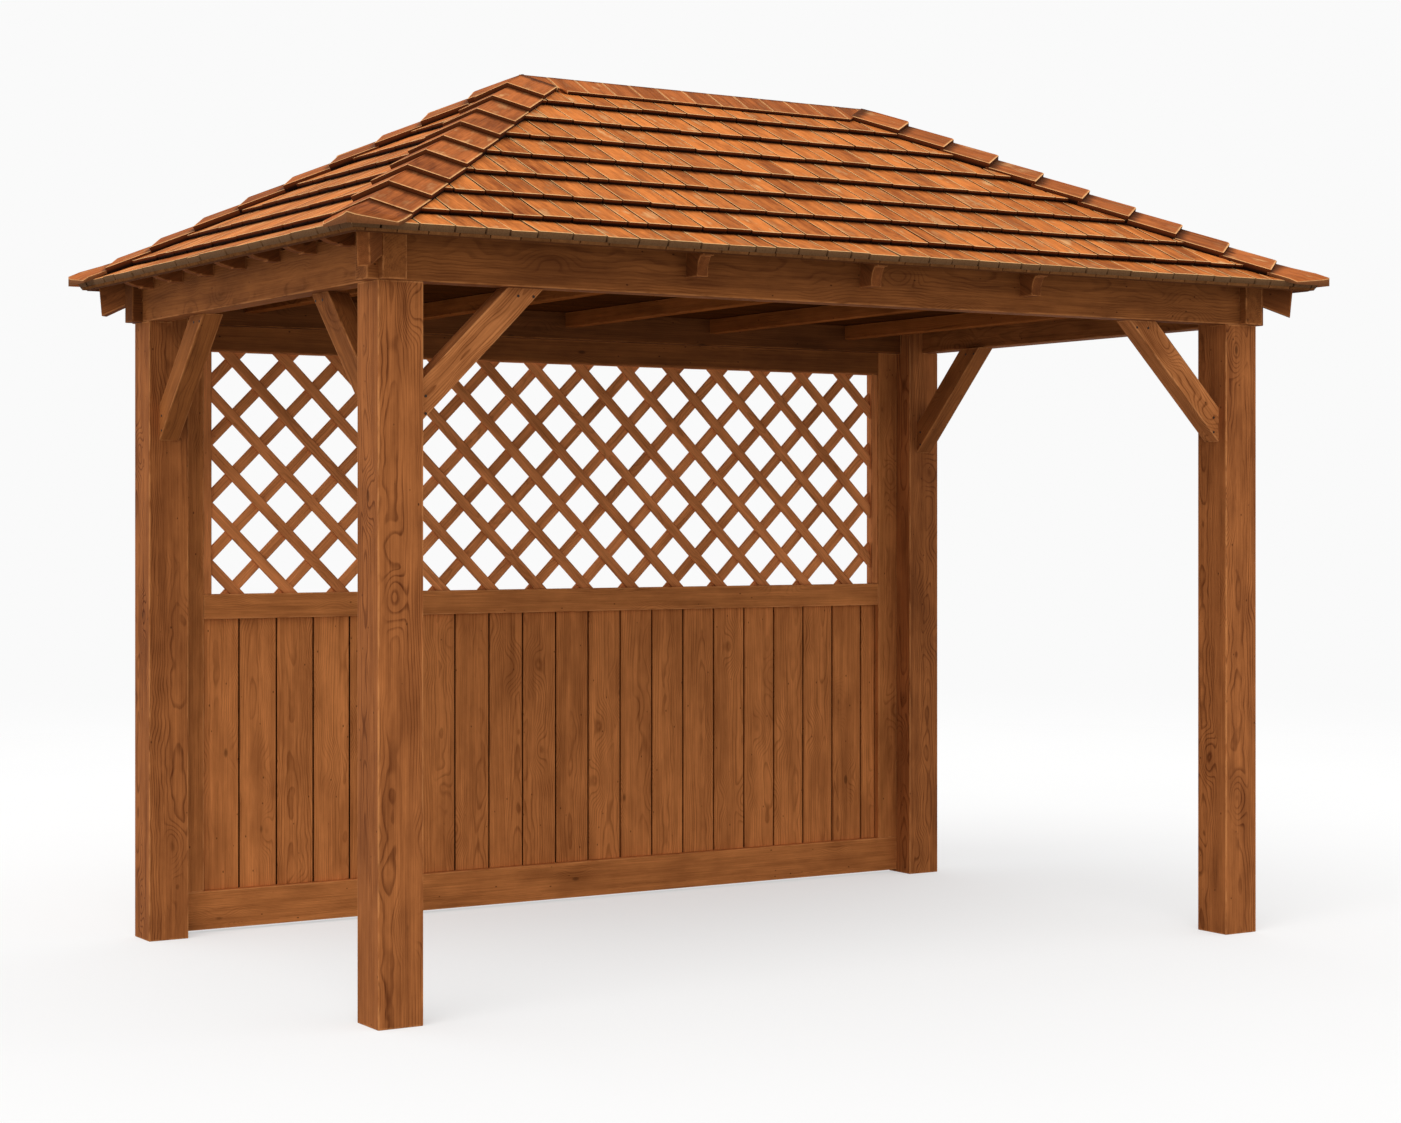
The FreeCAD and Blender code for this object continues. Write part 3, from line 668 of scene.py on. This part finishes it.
class Layout(Tree):
    """A Geometry Nodes tree with named inputs, laid on one object and turned into a plain mesh."""

    def __init__(self, name, sizes, counts=()):
        super().__init__(bpy.data.node_groups.new(name, "GeometryNodeTree"))
        kinds = {title: "NodeSocketFloat" for title in sizes}
        kinds.update({title: "NodeSocketInt" for title in counts})
        kinds.update({"Pattern": "NodeSocketObject", "Finish": "NodeSocketMaterial"})
        add_socket = self.tree.interface.new_socket
        add_socket(name="Geometry", in_out="INPUT", socket_type="NodeSocketGeometry")
        self.keys = {}
        for title, kind in kinds.items():
            self.keys[title] = add_socket(name=title, in_out="INPUT", socket_type=kind).identifier
        add_socket(name="Geometry", in_out="OUTPUT", socket_type="NodeSocketGeometry")
        self.given = self.node("NodeGroupInput").outputs

    def size(self, title):
        return Field(self, self.given[title])

    def sizes(self, *titles):
        return [self.size(title) for title in titles]

    def points(self, count):
        """New points, and the number of each."""
        made = self.node("GeometryNodePoints", None, {"Count": count}).outputs[0]
        return made, self.field("GeometryNodeInputIndex", "Index")

    def random(self, low, high, number, salt):
        """A random number for each point, between low and high, from the tree's seed."""
        sockets = {2: low, 3: high, "ID": number, "Seed": self.size("Seed") + salt}
        return self.field("FunctionNodeRandomValue", 1, {"data_type": "FLOAT"}, sockets)

    def choose(self, test, when_false, when_true):
        sockets = {"Switch": test, "False": when_false, "True": when_true}
        return self.field("GeometryNodeSwitch", "Output", {"input_type": "FLOAT"}, sockets)

    def store(self, geometry, title, value, kind="FLOAT"):
        settings = {"data_type": kind, "domain": "POINT"}
        sockets = {"Geometry": geometry, "Name": title, "Value": value}
        return self.node("GeometryNodeStoreNamedAttribute", settings, sockets).outputs["Geometry"]

    def stored(self, title):
        settings = {"data_type": "FLOAT_VECTOR"}
        return self.node("GeometryNodeInputNamedAttribute", settings, {"Name": title}).outputs["Attribute"]

    def copies(self, points, rotation, scale):
        """The pattern piece on every point, as plain faces."""
        pattern = self.node("GeometryNodeObjectInfo", None, {"Object": self.given["Pattern"]})
        laid = self.node("GeometryNodeInstanceOnPoints", None, {
            "Points": points, "Instance": pattern.outputs["Geometry"], "Rotation": rotation, "Scale": scale,
        }).outputs["Instances"]
        return self.node("GeometryNodeRealizeInstances", None, {"Geometry": laid}).outputs["Geometry"]

    def give_back(self, geometry):
        """Put the finish on the geometry and make it what the tree gives back."""
        sockets = {"Geometry": geometry, "Material": self.given["Finish"]}
        painted = self.node("GeometryNodeSetMaterial", None, sockets).outputs["Geometry"]
        self.node("NodeGroupOutput", None, {"Geometry": painted})

    def lay(self, points, place, turn, size, number, eave=0.0):
        """Put the pattern piece on the points, join the copies and give them their grain and their finish."""
        sockets = {"Geometry": points, "Position": place}
        points = self.node("GeometryNodeSetPosition", None, sockets).outputs["Geometry"]
        wide, long, thick = size
        shift = self.combine(
            self.random(0.0, 40.0, number, 31), self.random(-0.06, 0.06, number, 32),
            self.random(0.02, 0.06, number, 33))
        points = self.store(points, "tone", self.random(0.0, 1.0, number, 34))
        points = self.store(points, "eave", eave)
        points = self.store(points, "shift", shift, "FLOAT_VECTOR")
        points = self.store(points, "size", self.combine(long, wide, thick), "FLOAT_VECTOR")
        rotation = self.node("FunctionNodeEulerToRotation", None, {"Euler": turn}).outputs["Rotation"]
        joined = self.copies(points, rotation, self.combine(wide, long, thick))
        own = self.node("ShaderNodeVectorMath", {"operation": "MULTIPLY_ADD"}, {
            0: self.stored("local"), 1: self.stored("size"), 2: self.stored("shift"),
        }).outputs["Vector"]
        self.give_back(self.store(joined, "grain", own, "FLOAT_VECTOR"))

    def make(self, pattern, finish, values, mesh=None):
        """Run the tree with these values and give back the plain mesh as an editable shape."""
        carrier = placed("carrier", mesh or bpy.data.meshes.new("carrier"))
        modifier = carrier.modifiers.new("layout", "NODES")
        modifier.node_group = self.tree
        for title, value in {**values, "Pattern": pattern, "Finish": finish}.items():
            modifier[self.keys[title]] = value
        depsgraph = bpy.context.evaluated_depsgraph_get()
        mesh = bpy.data.meshes.new_from_object(carrier.evaluated_get(depsgraph), depsgraph=depsgraph)
        bpy.data.objects.remove(carrier)
        shape = bmesh.new()
        shape.from_mesh(mesh)
        bpy.data.meshes.remove(mesh)
        return shape


def courses_layout():
    """Lapped courses up a slope: X along the eave, Y up the slope, Z out from the deck."""
    tree = Layout("lapped_courses", (
        "Left", "Least Width", "Most Width", "Joint", "First Start", "Second Start", "Exposure", "Lap",
        "First Thickness", "Thickness", "First Rise", "Rise", "Tilt", "Ragged", "Twist",
    ), ("Courses", "Columns", "Seed"))
    columns, least, most, first_start, second_start, exposure, twist = tree.sizes(
        "Columns", "Least Width", "Most Width", "First Start", "Second Start", "Exposure", "Twist")
    points, number = tree.points(tree.size("Courses") * columns)
    course = (number / columns + 0.0001).whole()
    above = course.more_than(0.5)
    width = tree.random(least, most, number, 1)
    before = tree.field("GeometryNodeAccumulateField", "Trailing", {"data_type": "FLOAT"}, {
        "Value": width, "Group ID": course,
    })
    slide = tree.random(0.0, 1.0, course, 2) * (most - least)
    x = tree.size("Left") - slide + before + width / 2.0
    start = tree.choose(above, first_start, second_start + (course - 1.0) * exposure)
    y = start + tree.random(0.0, 1.0, number, 3) * tree.size("Ragged")
    lift = tree.choose(above, tree.size("First Rise"), tree.size("Rise"))
    reach = tree.choose(above, second_start - first_start, exposure)
    thick = tree.choose(above, tree.size("First Thickness"), tree.size("Thickness"))
    thick = thick * (1.0 + (tree.random(0.0, 1.0, number, 4) - 0.9) * 0.14)
    turn = tree.combine(
        -1.0 * tree.size("Tilt"), tree.random(-1.0, 1.0, number, 5) * twist,
        tree.random(-1.0, 1.0, number, 6) * twist)
    size = (width - tree.size("Joint"), reach + tree.size("Lap") - (y - start), thick)
    tree.lay(points, tree.combine(x, y, lift), turn, size, number, 1.0 - above)
    return tree


def row_layout():
    """Pieces side by side at an even pitch along X, each turned about Z by the same angle."""
    tree = Layout(
        "boards_in_a_row", ("Left", "Pitch", "Right", "Joint", "Start", "Length", "Thickness", "Turn"),
        ("Count", "Seed"))
    pitch, joint = tree.sizes("Pitch", "Joint")
    points, number = tree.points(tree.size("Count"))
    left = tree.size("Left") + number * pitch
    width = (tree.size("Right") - left).at_most(pitch) - joint
    thick = tree.size("Thickness") * (1.0 - 0.05 * tree.random(0.0, 1.0, number, 1))
    turn = tree.combine(0.0, 0.0, tree.size("Turn"))
    place = tree.combine(left + joint / 2.0 + width / 2.0, tree.size("Start"), 0.0)
    tree.lay(points, place, turn, (width, tree.size("Length"), thick), number)
    return tree


def screws_layout():
    """Screw heads on the points of a mesh, each facing along the point's own direction."""
    tree = Layout("screw_heads", ("Diameter", "Height"))
    sockets = {"Vector": tree.stored("facing")}
    rotation = tree.node("FunctionNodeAlignRotationToVector", {"axis": "Z"}, sockets).outputs["Rotation"]
    wide, high = tree.sizes("Diameter", "Height")
    tree.give_back(tree.copies(tree.given["Geometry"], rotation, tree.combine(wide, wide, high)))
    return tree


def row_of_boards(layout, pattern, finish, seed, run, pitch, joint, start, length, thickness):
    """Boards side by side along X over this run, each from start over this length in Y."""
    left, right = run
    return layout.make(pattern, finish, {
        "Count": math.ceil((right - left) / pitch), "Left": left, "Pitch": pitch, "Right": right,
        "Joint": joint, "Start": start, "Length": length, "Thickness": thickness, "Turn": 0.0, "Seed": seed,
    })


# Roof covering
def up_at_run(run, out):
    """How far up the slope a point lies, for its level run from the eave and its distance off the deck."""
    return (run + out * math.sin(roof_pitch)) / math.cos(roof_pitch)


first_start = up_at_run(0, shingle_butt)
second_start = first_start + starter_exposure
top_out = shingle_butt - shingle_step
ridge_up = up_at_run(eave_half_depth, top_out)
hip_length = math.sqrt(2) * eave_half_depth / math.cos(math.atan(math.tan(roof_pitch) / math.sqrt(2)))
cap_exposure = hip_length / caps_per_hip


def eave_of(side):
    """Half the length of a side's eave, its distance from the middle, and the turn from the front to it."""
    half, out = eave_half_length, eave_half_depth
    if side in ("right", "left"):
        half, out = out, half
    return half, out, Matrix.Rotation(math.radians(slope_turns[side]), 4, "Z")


def slope_frame(side):
    """From slope coordinates (along the eave, up the slope, out from the deck) to the gazebo's own."""
    out, turn = eave_of(side)[1:]
    return turn @ Matrix.Translation((0, -out, deck_top_at_eave)) @ Matrix.Rotation(roof_pitch, 4, "X")


def mitre_at_hips(shape, side):
    """Cut a slope's covering at the two hips."""
    half, out, turn = eave_of(side)
    for hand in (-1, 1):
        cut_away(shape, turn @ Vector((hand * half, -out, 0)), turn @ Vector((hand, 1, 0)))


def lay_starters(layout, pattern, side, seed):
    """The butts of the starter course, which hang below the eave course in front of the deck."""
    half = eave_of(side)[0]
    shape = row_of_boards(
        layout, pattern, starter_finish, seed, (-half - starter_shift, half), starter_pitch, starter_joint,
        first_start + starter_gap, starter_reach, starter_drop)
    move(shape, Matrix.Translation((0, 0, -starter_drop)))
    move(shape, slope_frame(side))
    mitre_at_hips(shape, side)
    finished(shape, "starter_shingles_" + side, starter_finish)


def cover_slope(layout, pattern, side, seed):
    """The shingles of one slope, course by course, with the doubled course at the eave."""
    long_side = side in ("front", "back")
    shape = layout.make(pattern, shingle_finish, {
        "Courses": shingle_courses, "Columns": shingle_columns if long_side else shingle_columns_at_ends,
        "Left": -eave_of(side)[0], "Least Width": 0.066, "Most Width": 0.116, "Joint": 0.0064,
        "First Start": first_start, "Second Start": second_start, "Exposure": shingle_exposure, "Lap": 0.024,
        "First Thickness": shingle_butt, "Thickness": 0.0158, "First Rise": 0.0, "Rise": 0.0068,
        "Tilt": 0.0425, "Ragged": 0.005, "Twist": 0.006, "Seed": seed,
    })
    move(shape, slope_frame(side))
    mitre_at_hips(shape, side)
    if long_side:
        outward = Vector((0, math.cos(roof_pitch), -math.sin(roof_pitch)))
        cut_away(shape, (0, 0, 0), slope_frame(side).to_3x3() @ outward)
    finished(shape, "shingles_laid_" + side, shingle_finish, ["shingles_" + side])


def hip_frame(hand, end, on_long_slope):
    """A frame for caps on one side of a hip: X across, Y up the hip, Z out from the slope.

    Hand is -1 at the left and 1 at the right, and end is -1 at the front and 1 at the back. Also gives which
    way the slope lies from the hip along X, the level direction off the slope, and the corner of the eaves.
    """
    sine = math.sin(roof_pitch)
    cosine = math.cos(roof_pitch)
    up_hip = Vector((-hand * cosine, -end * cosine, sine)).normalized()
    out = Vector((0, end * sine, cosine)) if on_long_slope else Vector((hand * sine, 0, cosine))
    across = up_hip.cross(out)
    inward = Vector((-hand, 0, 0)) if on_long_slope else Vector((0, -end, 0))
    side = 1 if across.dot(inward) > 0 else -1
    off = up_hip.cross(Vector((0, 0, 1)))
    if off.dot(inward) > 0:
        off = -off
    corner = Vector((hand * eave_half_length, end * eave_half_depth, deck_top_at_eave))
    return Matrix.Translation(corner) @ from_axes(across, up_hip, out), side, off, corner


def shape_lowest_cap(shape, side):
    """Cut the lowest cap's butt in line with the eave, and thin it from the arris to its outer edge."""
    slant = math.cos(roof_pitch)
    arris_start = -cap_overhang * math.sqrt(1 + slant * slant) / slant
    for group in islands(shape):
        start = min(point.co.y for point in group)
        if start > cap_exposure / 2:
            continue
        finish = max(point.co.y for point in group)
        for point in group:
            across = point.co.x * side
            butt = arris_start + across * slant
            share = (point.co.y - start) / (finish - start)
            point.co.y = butt + share * (finish - butt)
            height = point.co.z - shingle_butt
            thin = 1 + (lowest_cap_at_edge / lowest_cap_at_arris - 1) * across / cap_width
            point.co.z = shingle_butt + height * (thin * (1 - share) + lowest_cap_head_share * share)


def keep_in_caps(shape, name):
    """Keep the caps inside the reach of the CAD caps that they stand for."""
    low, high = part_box("hip_caps_" + name)
    for point in shape.verts:
        for axis in range(3):
            point.co[axis] = min(max(point.co[axis], low[axis]), high[axis])


def hip_caps(layout, pattern, name, hand, end, seed):
    """The pairs of cap boards over one hip, mitred along it."""
    whole = bmesh.new()
    for on_long_slope in (True, False):
        place, side, off, corner = hip_frame(hand, end, on_long_slope)
        shape = layout.make(pattern, cap_finish, {
            "Courses": caps_per_hip, "Columns": 1, "Left": -cap_spare if side > 0 else -cap_width,
            "Least Width": cap_width + cap_spare, "Most Width": cap_width + cap_spare, "Joint": 0.0,
            "First Start": 0.0, "Second Start": cap_exposure, "Exposure": cap_exposure, "Lap": 0.012,
            "First Thickness": lowest_cap_at_arris, "Thickness": cap_thickness + cap_sunk + cap_clearance,
            "First Rise": shingle_butt, "Rise": shingle_butt - cap_sunk, "Tilt": 0.071, "Ragged": 0.003,
            "Twist": 0.004, "Seed": seed + (0 if on_long_slope else 5),
        })
        shape_lowest_cap(shape, side)
        move(shape, place)
        cut_away(shape, corner, off)
        cut_away(shape, (0, 0, 0), (0, -end, 0))
        add_to(whole, shape)
    keep_in_caps(whole, name)
    finished(whole, "caps_laid_" + name, cap_finish, ["hip_caps_" + name])


def ridge_caps(layout, pattern):
    """Short boards in pairs over the ridge, cut square to the hips at both ends."""
    whole = bmesh.new()
    half = ridge_half_length + ridge_past_hips
    apex_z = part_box("ridge_cap")[1].z
    for seed, (side, end) in enumerate((("front", -1), ("back", 1))):
        shape = row_of_boards(
            layout, pattern, cap_finish, 301 + seed, (-half, half), ridge_board_pitch, ridge_board_joint,
            ridge_up - ridge_cap_width, ridge_cap_width + ridge_spare, cap_thickness)
        move(shape, Matrix.Translation((0, 0, top_out + ridge_lift)))
        move(shape, slope_frame(side))
        cut_away(shape, (0, 0, 0), (0, -end, 0))
        for hand in (-1, 1):
            up_hip = hip_frame(hand, end, True)[0].to_3x3() @ Vector((0, 1, 0))
            apex = Vector((hand * ridge_half_length, 0, apex_z))
            cut_away(shape, apex - up_hip * ridge_end_cut, -up_hip)
        add_to(whole, shape)
    finished(whole, "ridge_caps_laid", cap_finish, ["ridge_cap"])


# Closed back and ceiling
def upright_frame(front_y):
    """X to the right, Y up, Z towards the room, from a plane at front_y."""
    return Matrix.Translation((0, front_y, 0)) @ from_axes((1, 0, 0), (0, 0, 1), (0, -1, 0))


def plain_board(low, high):
    """A square-edged piece between two corners."""
    shape = bmesh.new()
    bmesh.ops.create_cube(shape, size=1.0)
    for point in shape.verts:
        for axis in range(3):
            point.co[axis] = low[axis] if point.co[axis] < 0 else high[axis]
    return shape


def lay_panel_boards(layout, pattern):
    """Upright boards side by side, with tongues behind their joints, painted near black as the shade in the
    gaps.
    """
    low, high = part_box("panel_boards")
    size = high - low
    shape = row_of_boards(
        layout, pattern, board_finish, 401, (low.x, high.x), panel_board_pitch, panel_board_joint, low.z,
        size.z, size.y)
    move(shape, upright_frame(high.y))
    finished(shape, "panel_boards_laid", board_finish, ["panel_boards"])
    tongues = plain_board((low.x, low.y + tongue_behind, low.z), (high.x, low.y + tongue_front, high.z))
    lay_grain(tongues, (0, 0, 1), 402)
    finished(tongues, "panel_board_tongues", joint_shade_finish)


def lay_ceiling_boards(layout, pattern):
    """Ceiling boards along the gazebo, seen from below, painted dark for the shade under the roof."""
    low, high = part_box("ceiling_boards")
    size = high - low
    shape = row_of_boards(
        layout, pattern, shaded_ceiling_finish, 411, (low.y, high.y), ceiling_board_pitch, ceiling_board_joint,
        low.x, size.x, size.z)
    move(shape, Matrix.Translation((0, 0, high.z)) @ from_axes((0, 1, 0), (1, 0, 0), (0, 0, -1)))
    finished(shape, "ceiling_boards_laid", shaded_ceiling_finish, ["ceiling_boards"])


def lay_lattice(layout, pattern):
    """Two layers of diagonal bars in a thin border."""
    low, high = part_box("lattice")
    whole = bmesh.new()
    rise = high.z - low.z
    steps = math.ceil((high.x + rise) / bar_pitch) + 1
    for direction, layers_out in ((-1, 2), (1, 3)):
        middle_at_start = bar_first - direction * (bar_offset + bar_spare)
        shape = layout.make(pattern, lattice_finish, {
            "Count": 2 * steps + 1, "Left": middle_at_start - (steps + 0.5) * bar_pitch, "Pitch": bar_pitch,
            "Right": 10.0, "Joint": bar_pitch - bar_width, "Start": low.z - bar_spare,
            "Length": (rise + 2 * bar_spare) * math.sqrt(2), "Thickness": bar_thickness,
            "Turn": -direction * math.pi / 4, "Seed": 421 + direction,
        })
        move(shape, upright_frame(low.y + layers_out * bar_thickness))
        for outward in (Vector((1, 0, 0)), Vector((0, 0, 1))):
            cut_away(shape, low, -outward)
            cut_away(shape, high, outward)
        add_to(whole, shape)
    finished(whole, "lattice_bars", lattice_finish, ["lattice"])
    inner_left = low.x + lattice_border
    inner_right = high.x - lattice_border
    sides = {
        "left": ((low.x, low.y, low.z), (inner_left, high.y, high.z)),
        "right": ((inner_right, low.y, low.z), (high.x, high.y, high.z)),
        "top": ((inner_left, low.y, high.z - lattice_top_border), (inner_right, high.y, high.z)),
    }
    for seed, (name, corners) in enumerate(sides.items()):
        shape = plain_board(*corners)
        ease_edges(shape, 0.001)
        lay_grain(shape, (1, 0, 0) if name == "top" else (0, 0, 1), 431 + seed)
        finished(shape, "lattice_border_" + name, lattice_finish)


# Screws through the ends of the braces
def pattern_screw():
    """A flat screw head one unit across and one high, with a dished rim and a small twelve-sided recess."""
    shape = bmesh.new()
    bmesh.ops.create_cone(
        shape, cap_ends=True, cap_tris=False, segments=12, radius1=0.5, radius2=0.42, depth=1.0,
        matrix=Matrix.Translation((0, 0, 0.5)))
    top = max(shape.faces, key=lambda face: face.calc_center_median().z)
    bmesh.ops.inset_individual(shape, faces=[top], thickness=0.2, depth=0.0)
    bmesh.ops.inset_individual(shape, faces=[top], thickness=0.04, depth=-0.6)
    return bpy.data.objects.new("screw_pattern", as_mesh(shape, "screw_pattern"))


def brace_screw_places(node):
    """Two screws through each end of a brace, on both of its broad faces."""
    low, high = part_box(node)
    run = 0 if node.startswith("brace_front") else 1
    face = 1 - run
    post_is_low = abs(low[run]) > abs(high[run])
    places = []
    for out, down in brace_screws:
        for outward in (-1, 1):
            place = [0.0, 0.0, high.z - down]
            place[run] = low[run] + out if post_is_low else high[run] - out
            place[face] = low[face] if outward < 0 else high[face]
            facing = [0.0, 0.0, 0.0]
            facing[face] = float(outward)
            places.append((place, facing))
    return places


def drive_screws(layout):
    places = [spot for node in brace_runs for spot in brace_screw_places(node)]
    mesh = bpy.data.meshes.new("screw_places")
    mesh.from_pydata([place for place, facing in places], [], [])
    facings = mesh.attributes.new("facing", "FLOAT_VECTOR", "POINT")
    facings.data.foreach_set("vector", [part for place, facing in places for part in facing])
    sizes = {"Diameter": screw_diameter, "Height": screw_height}
    finished(layout.make(pattern_screw(), screw_finish, sizes, mesh), "brace_screws", screw_finish)


dress_posts()
dress_beams()
dress_braces()
dress_panel_frame()
dress_roof_frame()
finish_hidden_carcass()
courses = courses_layout()
row = row_layout()
shingle_pattern = pattern_board("shingle_pattern", head=0.25, soft=0.035, soft_end=0.034, droop=0.05)
for number, side in enumerate(slope_turns):
    cover_slope(courses, shingle_pattern, side, 101 + 10 * number)
cap_pattern = pattern_board("cap_pattern", head=0.95, soft=0.04, soft_end=0.035, droop=0.05)
for number, (name, hand, end) in enumerate((
        ("front_left", -1, -1), ("front_right", 1, -1), ("back_left", -1, 1), ("back_right", 1, 1))):
    hip_caps(courses, cap_pattern, name, hand, end, 201 + 11 * number)
ridge_caps(row, cap_pattern)
board_pattern = pattern_board("board_pattern", soft=0.012, soft_end=0.002, droop=0.08)
for number, side in enumerate(slope_turns):
    lay_starters(row, board_pattern, side, 501 + number)
lay_panel_boards(row, board_pattern)
lay_ceiling_boards(row, board_pattern)
lay_lattice(row, pattern_board("bar_pattern", soft=0.09, soft_end=0.002, droop=0.15))
drive_screws(screws_layout())


# Camera, light and floor
def set_camera():
    """The photograph's view: level, turned right of straight ahead, with a small drop of the frame."""
    lens = bpy.data.cameras.new("camera")
    lens.lens = 67.40
    lens.sensor_width = 36.0
    lens.shift_y = -0.0305
    camera = placed("camera", lens)
    camera.location = (-4.7805, -7.6693, 1.4306)
    camera.rotation_euler = (math.radians(90), 0, math.radians(-31.979))
    bpy.context.scene.camera = camera


def set_world():
    """Soft even light all round, which the camera sees as a near white background."""
    world = bpy.data.worlds.new("world")
    world.use_nodes = True
    sky = Tree(world.node_tree)
    sky.tree.nodes.clear()
    light = sky.node("ShaderNodeBackground", None, {"Color": (1.0, 0.99, 0.98, 1.0), "Strength": 0.82})
    backdrop = sky.node("ShaderNodeBackground", None, {"Color": paint(250, 250, 250), "Strength": 1.0})
    mixed = sky.node("ShaderNodeMixShader", None, {
        0: sky.seen_directly(), 1: light.outputs["Background"], 2: backdrop.outputs["Background"],
    })
    sky.node("ShaderNodeOutputWorld", None, {"Surface": mixed.outputs["Shader"]})
    bpy.context.scene.world = world


def set_sun():
    """A broad soft key light from the front left."""
    lamp = bpy.data.lights.new("key", "SUN")
    lamp.energy = 1.35
    lamp.angle = math.radians(50)
    lamp.color = (1.0, 0.98, 0.95)
    key = placed("key", lamp)
    key.rotation_euler = Vector((0.62, 0.55, -0.95)).to_track_quat("-Z", "Y").to_euler()


def set_floor():
    """A plain pale floor that fades into the background far from the gazebo."""
    finish = Finish("floor")
    place = finish.own_place()
    far = finish.field("ShaderNodeVectorMath", "Value", {"operation": "LENGTH"}, {0: place})
    colour = finish.blend(finish.noise(place, 0.6), (0.435, 0.44, 0.445, 1.0), (0.455, 0.46, 0.465, 1.0))
    own_light = finish.blend(finish.seen_directly(), (0, 0, 0, 1), (0.505, 0.505, 0.505, 1.0))
    finish.plug(finish.shader.inputs["Alpha"], finish.smooth(far, 14.0, 3.6))
    finish.plug(finish.shader.inputs["Emission Color"], own_light)
    finish.shader.inputs["Emission Strength"].default_value = 1.0
    mesh = bpy.data.meshes.new("floor")
    reach = 20.0
    corners = [(-reach, -reach, 0), (reach, -reach, 0), (reach, reach, 0), (-reach, reach, 0)]
    mesh.from_pydata(corners, [], [(0, 1, 2, 3)])
    mesh.materials.append(finish.finish(colour, 0.95, 0.0))
    floor = placed("floor", mesh)


set_camera()
set_world()
set_sun()
set_floor()
bpy.context.scene.view_settings.view_transform = "Standard"
